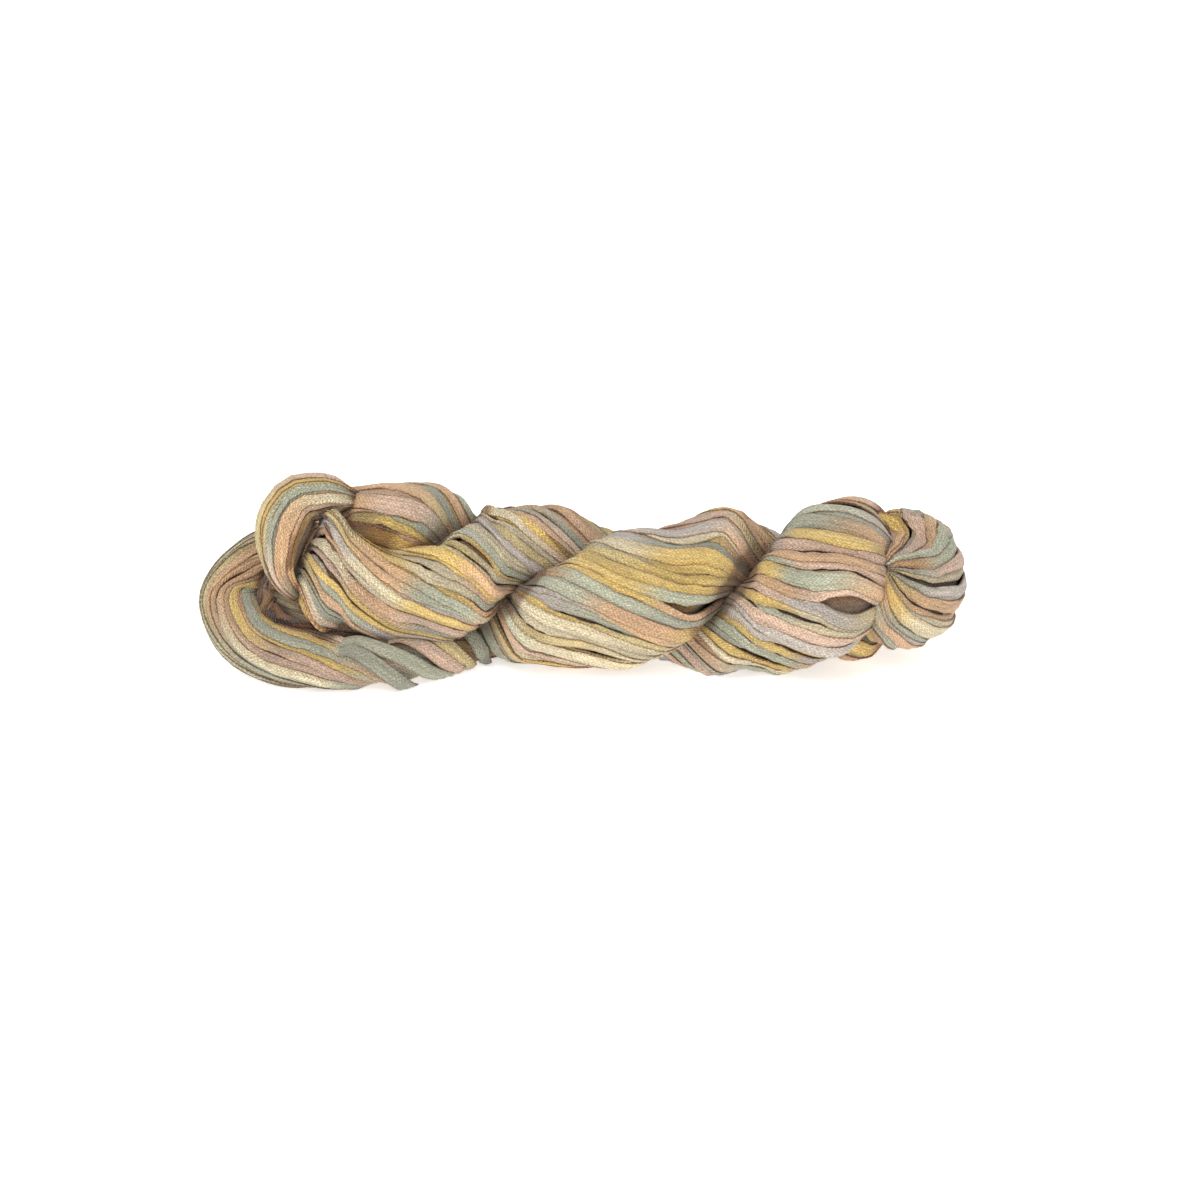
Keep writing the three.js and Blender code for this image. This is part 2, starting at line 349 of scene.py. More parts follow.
class RibbonDyes(bpy.types.PropertyGroup):
    """Dyes of the ribbon, and of the inner yarn, whose colour is darkened as painted shade"""
    sage: dye_property("Sage", "#BBBBA2")
    gold: dye_property("Gold", "#E6C474")
    peach: dye_property("Peach", "#E2B78A")
    pink: dye_property("Pink", "#E1BFA6")
    lavender: dye_property("Lavender", "#C6BAAE")
    cream: dye_property("Cream", "#E0D0AC")
    beige: dye_property("Beige", "#D9C38B")
    mauve: dye_property("Mauve", "#D5AD87")
    brown: dye_property("Brown", "#D0A67B")
    grey: dye_property("Grey", "#ACAB96")
    # Colour of the inner yarn: the tape darkened as painted shade, for where only shade shows.
    core: dye_property("Core", "#4E473C")


class StageColours(bpy.types.PropertyGroup):
    """Colours of what the skein lies on"""
    floor: bpy.props.FloatVectorProperty(
        name="Floor", description="Colour of the floor", subtype="COLOR", size=3, min=0.0, max=1.0,
        default=linear("#FCFBF9"))


# Tubes and the ribbons that lie on them

Tube = namedtuple("Tube", "place run middle outward across half_out half_side turn inside paired")
Layer = namedtuple("Layer", "lane depth breadth pressed swing lean shade charts parting")
Form = namedtuple("Form", "tube charts shade crowding darkest parting tips",
                  defaults=((), 1.0, 1.0, CREASE_SHADE, None, ()))


def unit(vectors):
    """Vectors at a length of one."""
    return vectors / np.linalg.norm(vectors, axis=-1, keepdims=True)


def ease(t):
    """A share from 0 to 1 that starts and ends softly."""
    return t * t * (3 - 2 * t)


def read(rows, by, key, places):
    """A table's column at each place, on a smooth curve that never overshoots its rows."""
    known = np.array([getattr(row, by) for row in rows], float)
    value = np.array([getattr(row, key) for row in rows], float)
    span = np.diff(known)
    rise = np.diff(value) / span
    before = np.concatenate((rise[:1], rise))
    after = np.concatenate((rise, rise[-1:]))
    same_way = before * after > 0
    slope = np.where(same_way, 2 * before * after / np.where(same_way, before + after, 1), 0)
    row = np.clip(np.searchsorted(known, places) - 1, 0, len(span) - 1)
    t = (places - known[row]) / span[row]
    start = value[row] * (1 + 2 * t) + slope[row] * span[row] * t
    end = value[row + 1] * (3 - 2 * t) - slope[row + 1] * span[row] * (1 - t)
    return start * (1 - t) ** 2 + end * t ** 2


def edge(angle, half, other_half):
    """Distance from the middle of an ellipse to its edge, at an angle from its first half axis."""
    return 1 / np.hypot(np.cos(angle) / half, np.sin(angle) / other_half)


def ply_tube(size_key, phase, places):
    """One ply at places along X, with its strands turning against the plies."""
    keys = ("x", "y", "z", "turn", "lean", f"{size_key}_twist", size_key)
    x, y, z, turned, lean, twist, size = (read(PLIES, "x", key, places) for key in keys)
    turn = np.radians(turned + phase)
    outward = np.stack((-lean * np.sin(turn), -np.cos(turn), np.sin(turn)), axis=1)
    across = np.stack((-lean * np.cos(turn), np.sin(turn), np.cos(turn)), axis=1)
    middle = np.stack((x, y, z), axis=1) + outward * (size * PLY_OFFSET)[:, None]
    return Tube(places, None, middle, outward, across, size * PLY_HALF_THICK, size * PLY_HALF_WIDE,
                (twist - turned) / 360, None, True)


def bundle_tube(rows, wide_along, inside, places):
    """A bundle of strands along a table of bends, wide along one direction."""
    middle = np.stack([read(rows, "at", key, places) for key in "xyz"], axis=1)
    along = unit(np.gradient(middle, places, axis=0))
    across = unit(wide_along - along * (along @ wide_along)[:, None])
    wide, thick, twist = (read(rows, "at", key, places) for key in ("wide", "thick", "twist"))
    outward = np.cross(along, across)
    return Tube(places, None, middle, outward, across, thick, wide, twist / 360, inside, False)


def on_tube(tube, shares):
    """Points at shares of the way round a tube, the way on round it there, and its girth, at each step."""
    angles = np.linspace(0, 2 * np.pi, ROUND + 1)
    reach = edge(angles, tube.half_out[:, None], tube.half_side[:, None])
    pieces = np.hypot(np.diff(reach * np.cos(angles)), np.diff(reach * np.sin(angles)))
    arc = np.concatenate((np.zeros((len(reach), 1)), np.cumsum(pieces, axis=1)), axis=1)
    girth = arc[:, -1]
    angle = np.stack([np.interp(share % 1 * full, passed, angles)
                      for share, full, passed in zip(shares.T, girth, arc)], axis=1)
    reach = edge(angle, tube.half_out, tube.half_side)
    out, side = reach * np.cos(angle), reach * np.sin(angle)
    points = tube.middle + tube.outward * out[..., None] + tube.across * side[..., None]
    onward = tube.across * (out / tube.half_out ** 2)[..., None]
    onward -= tube.outward * (side / tube.half_side ** 2)[..., None]
    return points, unit(onward), girth


def evenly(make_tube, first, last):
    """A tube with its steps evenly spaced along one of its strands."""
    rough = np.linspace(first, last, ROUGH_STEPS)
    tube = make_tube(rough)
    strand = on_tube(tube, tube.turn[None])[0][0]
    run = np.concatenate(([0], np.cumsum(np.linalg.norm(np.diff(strand, axis=0), axis=1))))
    steps = np.linspace(0, run[-1], int(run[-1] / STEP) + 1)
    return make_tube(np.interp(steps, run, rough))._replace(run=steps)


def wander(rng, bands, run, wave):
    """Smooth random curves about zero, one for each band, that swing over the given length."""
    place = (run - run[0]) * 2 / wave
    knot = place.astype(int)
    swing = rng.uniform(-1, 1, (bands, knot[-1] + 2))
    t = ease(place - knot)
    return swing[:, knot] * (1 - t) + swing[:, knot + 1] * t


def frames_on(tube, shares):
    """Strands at shares of the way round a tube: their points, sideways and outward ways, and room."""
    points, onward, girth = on_tube(tube, shares)
    along = unit(np.gradient(points, axis=1))
    lag = np.sum(onward * along, axis=-1, keepdims=True)
    side = unit(onward - along * lag)
    return points, side, np.cross(along, side), girth * np.sqrt(1 - lag[..., 0] ** 2)


def part_lanes(tube, lane, count, place):
    """Lanes pushed apart round a place on a tube, where the layer below shows."""
    step = int(np.argmin(np.abs(tube.middle[:, 0] - place[0])))
    shares = np.linspace(0, count, ROUND, endpoint=False)[:, None]
    round_there = on_tube(tube, shares / count + tube.turn)[0][:, step]
    split = shares[np.argmin(np.linalg.norm(round_there - place, axis=1)), 0]
    gap = (lane - split + count / 2) % count - count / 2
    along = np.clip((tube.run - tube.run[step]) * 2 / PARTING_LENGTH, -1, 1)
    push = PARTING_LANES * np.cos(along * np.pi / 2) ** 2
    return lane + np.sign(gap[:, [step]]) * np.exp(-np.abs(gap) / PARTING_REACH) * push


def drape(lane, half, heights, thick, count, order):
    """Heights of ribbons across their widths, each lifted over the ones that were laid before it."""
    steps = np.arange(lane.shape[1])[:, None]
    spare = len(SETTLE) // 2 + 1
    cells = count * CELLS
    place = (np.arange(cells) + 0.5) / CELLS
    top = np.full((len(steps), cells), -np.inf)
    rising = REACHES[::-1]
    draped = np.empty(heights.shape)
    for band in order:
        middle, wide = lane[band][:, None], half[band][:, None]
        under = top[steps, ((middle + wide * REACHES) * CELLS).astype(int) % cells]
        lifted = np.maximum(heights[band], under + thick)
        padded = np.pad(lifted, ((spare, spare), (0, 0)), mode="edge")
        highest = np.maximum(np.maximum(padded[:-2], padded[1:-1]), padded[2:])
        lifted = sum(weight * highest[i:i + len(steps)] for i, weight in enumerate(SETTLE))
        draped[band] = lifted
        share = ((place - middle + count / 2) % count - count / 2) / wide
        right = np.clip(np.searchsorted(rising, share), 1, len(rising) - 1)
        t = (share - rising[right - 1]) / (rising[right] - rising[right - 1])
        flipped = lifted[:, ::-1]
        across = flipped[steps, right - 1] * (1 - t) + flipped[steps, right] * t
        top = np.where(np.abs(share) <= 1, np.maximum(top, across), top)
    return draped


def round_bands(points, side, up, spread, heights, thick):
    """Closed rings round ribbons, from their middle lines and the heights across their widths."""
    rings = np.stack([
        points + side * spread[..., across, None]
        + up * (heights[..., across] + thick / 2 * rise)[..., None]
        for across, rise, _ in BAND], axis=2)
    rings[..., 2] = np.maximum(rings[..., 2], FLOOR_GAP)
    return rings


def unrolled(points, spread):
    """UV of the rings in millimetres, along and across each ribbon, each with a stretch of its own."""
    across = spread[..., BAND_REACH]
    run = np.cumsum(np.linalg.norm(np.diff(points, axis=1, prepend=points[:, :1]), axis=-1), axis=1)
    run = run + np.arange(len(points))[:, None] * RUN_SHIFT
    return np.stack((np.broadcast_to(run[..., None], across.shape), across), axis=-1)


def lay_bands(tube, lane, count, breadth, layer, sizes, order, rng):
    """Rings of points of ribbons that lie in lanes round a tube, over and under each other."""
    bands = len(lane)
    thick = sizes.thickness / MM
    points, side, up, room = frames_on(tube, lane / count + tube.turn)
    half = sizes.width / MM / 2 * breadth * (1 + WIDTH_SWING * wander(rng, bands, tube.run, WIDTH_WAVE))
    half = np.minimum(half, breadth * room / count * WIDEST_SHARE / 2)
    left, right = (EDGE_SWING * wander(rng, bands, tube.run, EDGE_WAVE)[..., None] for _ in range(2))
    edges = np.where(half[..., None] > EDGE_LEAST, left * LEFT_EDGE + right * LEFT_EDGE[::-1], 0)
    spread = half[..., None] * REACHES + edges

    level = wander(rng, bands, tube.run, LEVEL_WAVE) * LEVEL_SWING
    tilt = wander(rng, bands, tube.run, TILT_WAVE) * TILT_SWING
    heights = level[..., None] + tilt[..., None] * REACHES - CURL * np.abs(REACHES) ** CURL_BEND
    puckers = np.stack([wander(rng, bands, tube.run, PUCKER_WAVE) for _ in REACHES], axis=-1)
    heights = heights + PUCKER * puckers
    heights = drape(lane, half * count / room, heights * layer.swing, thick * layer.pressed, count, order)
    round_off = spread ** 2 * np.pi / room[..., None]

    within = np.minimum(layer.depth, DEEPEST_SHARE * np.minimum(tube.half_out, tube.half_side))
    points = points - up * within[:, None]
    points[..., 2] = np.maximum(points[..., 2], thick / 2 + layer.depth - OUTER_DEPTH)
    rings = round_bands(points, side, up, spread, heights - round_off, thick)
    return rings, unrolled(points, spread), points, up, heights.mean(axis=-1)


def lay_tips(tube, tips, sizes, dyes):
    """Layers of single ribbons that cross a tube and turn under it, with blunt tips."""
    thick = sizes.thickness / MM
    layers = []
    for laid, tip in enumerate(tips):
        part = (tube.place >= tip.start) & (tube.place <= tip.end)
        crossed = tube._replace(
            middle=tube.middle[part], outward=tube.outward[part], across=tube.across[part],
            half_out=tube.half_out[part], half_side=tube.half_side[part])
        share = np.linspace(0, 1, np.count_nonzero(part))
        way_round = tip.top + (tip.bottom - tip.top) * share ** TIP_TURN
        points, side, up, room = frames_on(crossed, way_round[None])
        half = sizes.width / MM / 2 * TIP_BREADTH
        spread = np.broadcast_to(half * REACHES, (*room.shape, len(REACHES)))
        height = (TIP_SINK + TIP_LIFT + laid * TIP_PILE) * ease(np.clip(share / TIP_RISE, 0, 1)) - TIP_SINK
        heights = height[:, None] - spread ** 2 * np.pi / room[..., None]
        rings = round_bands(points, side, up, spread, heights, thick)
        layers.append((rings, unrolled(points, spread), np.array(getattr(dyes, tip.dye)) + 0 * points))
    return layers


def dye_bands(tube, points, normals, level, charts, dyes, rng):
    """Colour of each ribbon at each step: what the charts say where it is seen, and any dye elsewhere."""
    names = [name for name in dyes.__annotations__ if name != "core"]
    palette = {name: np.array(getattr(dyes, name)) for name in names}
    count = len(points)
    any_dye = np.array([palette[name] for name in names])

    def mixed():
        return any_dye[rng.integers(len(names), size=count)]

    keys = [(tube.place[0], mixed())]
    for chart in charts:
        step = int(np.argmin(np.abs(tube.place - chart.place)))
        if tube.run[step] - tube.run[np.searchsorted(tube.place, keys[-1][0])] > CHART_GAP:
            keys.append(((keys[-1][0] + chart.place) / 2, mixed()))
        offset = points[:, step] - tube.middle[step]
        seen = normals[:, step] @ TO_VIEWER > LEAST_FACING
        if tube.paired:
            seen &= offset @ tube.outward[step] > LEAST_OUTWARD * tube.half_out[step]
        order = np.flatnonzero(seen)[np.argsort(points[seen, step] @ chart.along)]
        names_across = chart.colours.split()
        colours = mixed()
        for i, band in enumerate(order):
            colours[band] = palette[names_across[i * len(names_across) // len(order)]]
        keys.append((chart.place, colours))
    keys.append((tube.place[-1], mixed()))

    shift = rng.uniform(-DYE_SHIFT, DYE_SHIFT, (count, 1))
    dye = np.empty(points.shape)
    for (start, before), (end, after) in zip(keys, keys[1:]):
        part = (tube.place >= start) & (tube.place <= end)
        t = ((tube.place[part] - start) / (end - start) + shift - DYE_START) / DYE_BLEND
        t = ease(np.clip(t, 0, 1))[..., None]
        dye[:, part] = before[:, None] * (1 - t) + after[:, None] * t
    # Random tone along each ribbon, plus painted shade that darkens the ribbons that lie low.
    uneven = SHADE_SWING * wander(rng, count, tube.run, SHADE_WAVE) + LEVEL_SHADE * level
    return dye * (1 + uneven)[..., None]


def crease_shade(points, others, darkest):
    """Painted shade at points of ribbons: dark in the creases, where another tube comes near."""
    shade = np.ones(points.shape[:2])
    for other in others:
        apart = np.linalg.norm(points[:, :, None] - other.middle, axis=-1)
        step = np.argmin(apart, axis=-1)
        offset = points - other.middle[step]
        out = np.sum(offset * other.outward[step], axis=-1) / other.half_out[step]
        side = np.sum(offset * other.across[step], axis=-1) / other.half_side[step]
        along = np.sum(offset * np.cross(other.outward[step], other.across[step]), axis=-1)
        reach = np.sqrt(out ** 2 + side ** 2 + (along / other.half_side[step]) ** 2)
        clear = ease(np.clip((reach - 1) / CREASE_REACH, 0, 1))
        shade = np.minimum(shade, darkest + (1 - darkest) * clear)
    return shade[..., None]


def make_ribbons(name, layers, material):
    """One piece of many closed ribbons, from layers of rings with their UV and dye, with painted shade at
    their edges.
    """
    sides = len(BAND)
    points, faces, runs, colours = [], [], [], []
    start = 0
    for rings, uv, dye in layers:
        count, steps = rings.shape[:2]
        index = start + np.arange(count * steps * sides).reshape(count, steps, sides)
        start += index.size
        turned = np.roll(index, -1, axis=2)
        quads = np.stack((index[:, :-1], turned[:, :-1], turned[:, 1:], index[:, 1:]), -1)
        faces.append(quads.reshape(-1, 4))
        faces.append(index[:, -1][:, BAND_CAP].reshape(-1, 4))
        faces.append(index[:, 0][:, BAND_CAP[:, ::-1]].reshape(-1, 4))
        points.append(rings.reshape(-1, 3))
        runs.append(uv.reshape(-1, 2))
        # Painted shade: the colour darkens towards each ribbon's edges and underside, warmer than grey.
        colours.append((dye[:, :, None] * BAND_PAINTED_SHADE[:, None] ** SHADE_WARMTH).reshape(-1, 3))
    faces = np.concatenate(faces)
    mesh = bpy.data.meshes.new(name)
    mesh.from_pydata(np.concatenate(points) * MM, [], faces)
    uv_map = mesh.uv_layers.new(name="ribbon_run")
    uv_map.uv.foreach_set("vector", (np.concatenate(runs)[faces.ravel()] * MM).ravel())
    colour = np.concatenate(colours)
    # The dye attribute holds the ribbons' dye together with its painted shade.
    dye_layer = mesh.color_attributes.new("dye", "FLOAT_COLOR", "POINT")
    dye_layer.data.foreach_set("color", np.c_[colour, np.ones(len(colour))].ravel())
    add_piece(name, mesh, material)


def make_core(name, tubes, material):
    """One piece of closed plain tubes that fill the skein below its ribbons."""
    points, faces = [], []
    start = 0
    for tube in tubes:
        steps = len(tube.run)
        shares = np.linspace(0, 1, CORE_SIDES, endpoint=False)[:, None] + tube.turn
        fill = np.maximum(1 - CORE_DEPTH / np.minimum(tube.half_out, tube.half_side), CORE_LEAST)
        within = tube._replace(half_out=tube.half_out * fill, half_side=tube.half_side * fill)
        rings = on_tube(within, shares)[0].transpose(1, 0, 2)
        rings[..., 2] = np.maximum(rings[..., 2], CORE_DEPTH)
        index = start + np.arange(steps * CORE_SIDES).reshape(steps, CORE_SIDES)
        start += index.size
        turned = np.roll(index, -1, axis=1)
        quads = np.stack((index[:-1], turned[:-1], turned[1:], index[1:]), -1).reshape(-1, 4)
        faces += [*quads.tolist(), index[0, ::-1].tolist(), index[-1].tolist()]
        points.append(rings.reshape(-1, 3))
    mesh = bpy.data.meshes.new(name)
    mesh.from_pydata(np.concatenate(points) * MM, [], faces)
    add_piece(name, mesh, material)


def add_piece(name, mesh, material):
    """A finished piece that stands for the solid and moves with it."""
    mesh.polygons.foreach_set("use_smooth", np.ones(len(mesh.polygons), bool))
    mesh.materials.append(material)
    piece = bpy.data.objects.new(name, mesh)
    bpy.context.scene.collection.objects.link(piece)
    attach(piece, BODY)
    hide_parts(NODE)


def skein_forms():
    """The skein's forms by the names of their pieces, in the order of their seeds."""
    forms = {}
    for key, phase, charts, parting in (
            ("first", 0, FIRST_PLY_CHARTS, None), ("second", 180, SECOND_PLY_CHARTS, PARTING)):
        tube = evenly(lambda places: ply_tube(key, phase, places), PLIES[0].x, PLIES[-1].x)
        forms[f"{key}_ply_ribbons"] = Form(tube, charts, parting=parting)
    for key, rows, wide_along, inside, form in (
            ("fold", FOLD, UPRIGHT, -VIEW_RIGHT, Form(None, FOLD_CHARTS, darkest=FOLD_CREASE_SHADE)),
            ("hood", HOOD, DEEP_DOWN, None, Form(None, HOOD_CHARTS, crowding=HOOD_CROWDING)),
            ("open_loop", OPEN_LOOP, DEEP, None,
             Form(None, OPEN_LOOP_CHARTS, crowding=LOOP_CROWDING, tips=LOOP_TIPS)),
            ("inner_loop", INNER_LOOP, DEEP, None, Form(None, shade=INNER_LOOP_SHADE)),
            ("nest", NEST, DEEP, None, Form(None, shade=INNER_LOOP_SHADE))):
        tube = evenly(lambda places: bundle_tube(rows, wide_along, inside, places), 0.0, 1.0)
        forms[f"{key}_ribbons"] = form._replace(tube=tube)
    return forms


def wind(name, form, others, scene, offset):
    """One form's ribbons: the outer layer with a few strays on it, and one below that shows in the gaps."""
    sizes, dyes = scene.ribbon_sizes, scene.ribbon_dyes
    tube = form.tube
    rng = np.random.default_rng(sizes.seed + offset)
    girth = np.max(on_tube(tube, tube.turn[None])[2])
    count = round(girth * MM / sizes.spacing * form.crowding)
    lanes = np.arange(count)[:, None]
    strays = rng.uniform(0, count, (STRAYS, 1))
    drift = rng.uniform(-STRAY_DRIFT, STRAY_DRIFT, (STRAYS, 1)) * tube.run / tube.run[-1]
    outer = np.concatenate((lanes + 0 * tube.run, strays + drift))
    inner = lanes[::2] + 0.5 + 0 * tube.run
    layers = []
    for layer in (
            Layer(outer, OUTER_DEPTH, 1, PRESSED, 1, INSIDE_LEAN, form.shade, form.charts, form.parting),
            Layer(inner, INNER_DEPTH, INNER_BREADTH, 0, INNER_SWING, INNER_INSIDE_LEAN,
                  form.shade * INNER_SHADE, (), None)):
        lane = layer.lane
        if tube.inside is not None:
            middle = len(tube.run) // 2
            outward = frames_on(tube, lane / count + tube.turn)[2][:, middle]
            lane = lane[outward @ tube.inside < layer.lean]
        bands = len(lane)
        lane = lane + wander(rng, bands, tube.run, SIDE_WAVE) * SIDE_WANDER
        if layer.parting is not None:
            lane = part_lanes(tube, lane, count, layer.parting)
        breadth = rng.uniform(*WIDTH_RANGE, (bands, 1)) * layer.breadth
        order = rng.permutation(bands)
        rings, uv, points, up, level = lay_bands(tube, lane, count, breadth, layer, sizes, order, rng)
        dye = dye_bands(tube, points, up, level, layer.charts, dyes, rng)
        # Painted shade: the inner layer, the shaded loops and the creases are darkened, warmer than grey.
        dye *= (layer.shade * crease_shade(points, others, form.darkest)) ** SHADE_WARMTH
        layers.append((rings, uv, dye))
    layers += lay_tips(tube, form.tips, sizes, dyes)
    make_ribbons(name, layers, knitted_tape())


def wind_forms(scene, *names):
    """Winds the ribbons of the named forms, each from a seed of its own."""
    forms = skein_forms()
    for offset, (name, form) in enumerate(forms.items()):
        if name in names:
            others = [other.tube for key, other in forms.items() if key != name]
            wind(name, form, others, scene, offset)


# Knit of the ribbon in millimetres, drawn twice as coarse as real stitches, which are too fine to show

STITCH = 1.6
COLUMN = 1.5
STITCH_SLANT = 2.0
UNEVEN = 2.6
UNEVEN_TURN = 1.5
RIB_HEIGHT = 1.6
HEATHER = 0.9
HEATHER_HEIGHT = 1.2
STREAK = 0.8
STREAK_LENGTH = 16.0
RUN_SHIFT = 37.0
KNIT_RELIEF = 0.3

# Inner yarn in millimetres: the width of its loose strands, and how far they stand out

INNER_STRAND = 3.0
INNER_RELIEF = 1.0


def node(tree, kind, inputs=None, **settings):
    """Adds a node, with its settings and with values or links for its inputs."""
    added = tree.nodes.new(kind)
    for key, value in settings.items():
        setattr(added, key, value)
    for socket, value in (inputs or {}).items():
        if isinstance(value, bpy.types.NodeSocket):
            tree.links.new(value, added.inputs[socket])
        else:
            added.inputs[socket].default_value = value
    return added


def new_material(name):
    """A material with no nodes yet, and its tree."""
    material = bpy.data.materials.new(name)
    material.use_nodes = True
    material.node_tree.nodes.clear()
    return material, material.node_tree


def knitted_tape():
    """Knitted cotton tape: a soft matt surface, fine slanting stitches with painted shade, and dye that
    took unevenly.
    """
    name = "knitted cotton tape"
    if name in bpy.data.materials:
        return bpy.data.materials[name]
    material, tree = new_material(name)
    run = node(tree, "ShaderNodeUVMap", uv_map="ribbon_run").outputs["UV"]
    axes = node(tree, "ShaderNodeSeparateXYZ", {"Vector": run}).outputs
    math_node = "ShaderNodeMath"
    column = node(tree, math_node, {0: axes["Y"], 1: 1 / (COLUMN * MM)}, operation="MULTIPLY").outputs[0]
    fold = node(tree, math_node, {0: column, 1: 0.5}, operation="PINGPONG").outputs[0]
    row = node(tree, math_node, {0: axes["X"], 1: 1 / (STITCH * MM)}, operation="MULTIPLY").outputs[0]
    slant = node(tree, math_node, {0: fold, 1: STITCH_SLANT, 2: row}, operation="MULTIPLY_ADD").outputs[0]
    uneven = node(tree, "ShaderNodeTexNoise",
                  {"Vector": run, "Scale": 1 / (UNEVEN * MM), "Detail": 1.0}).outputs["Fac"]
    phase = node(tree, math_node, {0: uneven, 1: UNEVEN_TURN, 2: slant},
                 operation="MULTIPLY_ADD").outputs[0]
    turn = node(tree, math_node, {0: phase, 1: 2 * math.pi}, operation="MULTIPLY").outputs[0]
    leg = node(tree, math_node, {0: turn}, operation="SINE").outputs[0]
    rib = node(tree, math_node, {0: fold, 1: RIB_HEIGHT, 2: leg}, operation="MULTIPLY_ADD").outputs[0]

    place = node(tree, "ShaderNodeTexCoord").outputs["Object"]
    heather = node(tree, "ShaderNodeTexNoise",
                   {"Vector": place, "Scale": 1 / (HEATHER * MM), "Detail": 3.0}).outputs["Fac"]
    # The dye attribute carries the ribbons' dye together with its painted shade.
    dye = node(tree, "ShaderNodeAttribute", attribute_name="dye").outputs["Color"]
    # Painted shade of the stitches: darker between their legs; the flecks and streaks are the tape's own
    # uneven tone.
    tone = node(tree, "ShaderNodeMapRange",
                {"Value": leg, "From Min": -1.0, "From Max": 1.0,
                 "To Min": 0.7, "To Max": 1.16}).outputs[0]
    fleck = node(tree, "ShaderNodeMapRange",
                 {"Value": heather, "From Min": 0.25, "From Max": 0.75,
                  "To Min": 0.66, "To Max": 1.27}).outputs[0]
    streaks = (1 / (STREAK_LENGTH * MM), 1 / (STREAK * MM), 1.0)
    drawn_out = node(tree, "ShaderNodeMapping", {"Vector": run, "Scale": streaks}).outputs[0]
    strands = node(tree, "ShaderNodeTexNoise",
                   {"Vector": drawn_out, "Scale": 1.0, "Detail": 2.0}).outputs["Fac"]
    streak = node(tree, "ShaderNodeMapRange",
                  {"Value": strands, "From Min": 0.3, "From Max": 0.7,
                   "To Min": 0.74, "To Max": 1.18}).outputs[0]
    stitch_shade_and_fleck = node(tree, math_node, {0: tone, 1: fleck}, operation="MULTIPLY").outputs[0]
    shade = node(tree, math_node, {0: stitch_shade_and_fleck, 1: streak}, operation="MULTIPLY").outputs[0]
    colour = node(tree, "ShaderNodeVectorMath", {0: dye, "Scale": shade}, operation="SCALE").outputs[0]

    height = node(tree, math_node, {0: heather, 1: HEATHER_HEIGHT, 2: rib},
                  operation="MULTIPLY_ADD").outputs[0]
    bump = node(tree, "ShaderNodeBump",
                {"Height": height, "Strength": 0.9, "Distance": KNIT_RELIEF * MM}).outputs[0]
    shader = node(tree, "ShaderNodeBsdfPrincipled", {
        "Base Color": colour, "Normal": bump, "Roughness": 0.72, "Specular IOR Level": 0.35,
        "Sheen Weight": 0.25, "Sheen Roughness": 0.45}).outputs[0]
    node(tree, "ShaderNodeOutputMaterial", {"Surface": shader})
    return material


def shaded_yarn(dye):
    """Loose inner turns of the same tape, darkened as painted shade: they read as dark lines between the
    ribbons.
    """
    material, tree = new_material("shaded inner yarn")
    place = node(tree, "ShaderNodeTexCoord").outputs["Object"]
    strands = node(tree, "ShaderNodeTexNoise",
                   {"Vector": place, "Scale": 1 / (INNER_STRAND * MM), "Detail": 4.0}).outputs["Fac"]
    tone = node(tree, "ShaderNodeMapRange", {"Value": strands, "To Min": 0.6, "To Max": 1.3}).outputs[0]
    colour = node(tree, "ShaderNodeVectorMath", {0: dye, "Scale": tone}, operation="SCALE").outputs[0]
    bump = node(tree, "ShaderNodeBump",
                {"Height": strands, "Strength": 0.8, "Distance": INNER_RELIEF * MM}).outputs[0]
    shader = node(tree, "ShaderNodeBsdfPrincipled",
                  {"Base Color": colour, "Normal": bump, "Roughness": 0.9}).outputs[0]
    node(tree, "ShaderNodeOutputMaterial", {"Surface": shader})
    return material


# Stage: half the floor's size in metres, its own glow, the light from all round, and the lamps

FLOOR_HALF = 4.0
FLOOR_GLOW = 0.55
ROOM_LIGHT = 0.34
ROOM_COLOUR = (1.0, 0.99, 0.97, 1.0)
Lamp = namedtuple("Lamp", "name toward power spread")
LAMPS = (
    Lamp("soft key light", (-0.3, -0.6, 1.0), 1.7, 30),
    Lamp("front fill light", (0.2, -1.0, 0.5), 1.35, 60),
    Lamp("back light", (0.3, 1.0, 0.9), 0.9, 60),
)


def lay_floor(scene):
    """Matt white paper, which glows a little so that it stays as pale as the photograph's."""
    shape = bmesh.new()
    bmesh.ops.create_grid(shape, x_segments=1, y_segments=1, size=FLOOR_HALF)
    mesh = bpy.data.meshes.new("floor")
    shape.to_mesh(mesh)
    shape.free()
    material, tree = new_material("matt white paper")
    white = (*scene.stage_colours.floor, 1.0)
    shader = node(tree, "ShaderNodeBsdfPrincipled",
                  {"Base Color": white, "Roughness": 0.9, "Emission Color": white,
                   "Emission Strength": FLOOR_GLOW}).outputs[0]
    node(tree, "ShaderNodeOutputMaterial", {"Surface": shader})
    mesh.materials.append(material)
    floor = bpy.data.objects.new("floor", mesh)
    scene.collection.objects.link(floor)


def light_stage(scene):
    """Soft studio light: a pale room and three broad lamps."""
    world = bpy.data.worlds.new("white studio")
    world.use_nodes = True
    background = world.node_tree.nodes["Background"].inputs
    background["Color"].default_value = ROOM_COLOUR
    background["Strength"].default_value = ROOM_LIGHT
    scene.world = world
    for lamp in LAMPS:
        sun = bpy.data.lights.new(lamp.name, "SUN")
        sun.energy = lamp.power
        sun.angle = math.radians(lamp.spread)
        light = bpy.data.objects.new(lamp.name, sun)
        light.rotation_euler = (-Vector(lamp.toward)).to_track_quat("-Z", "Y").to_euler()
        scene.collection.objects.link(light)


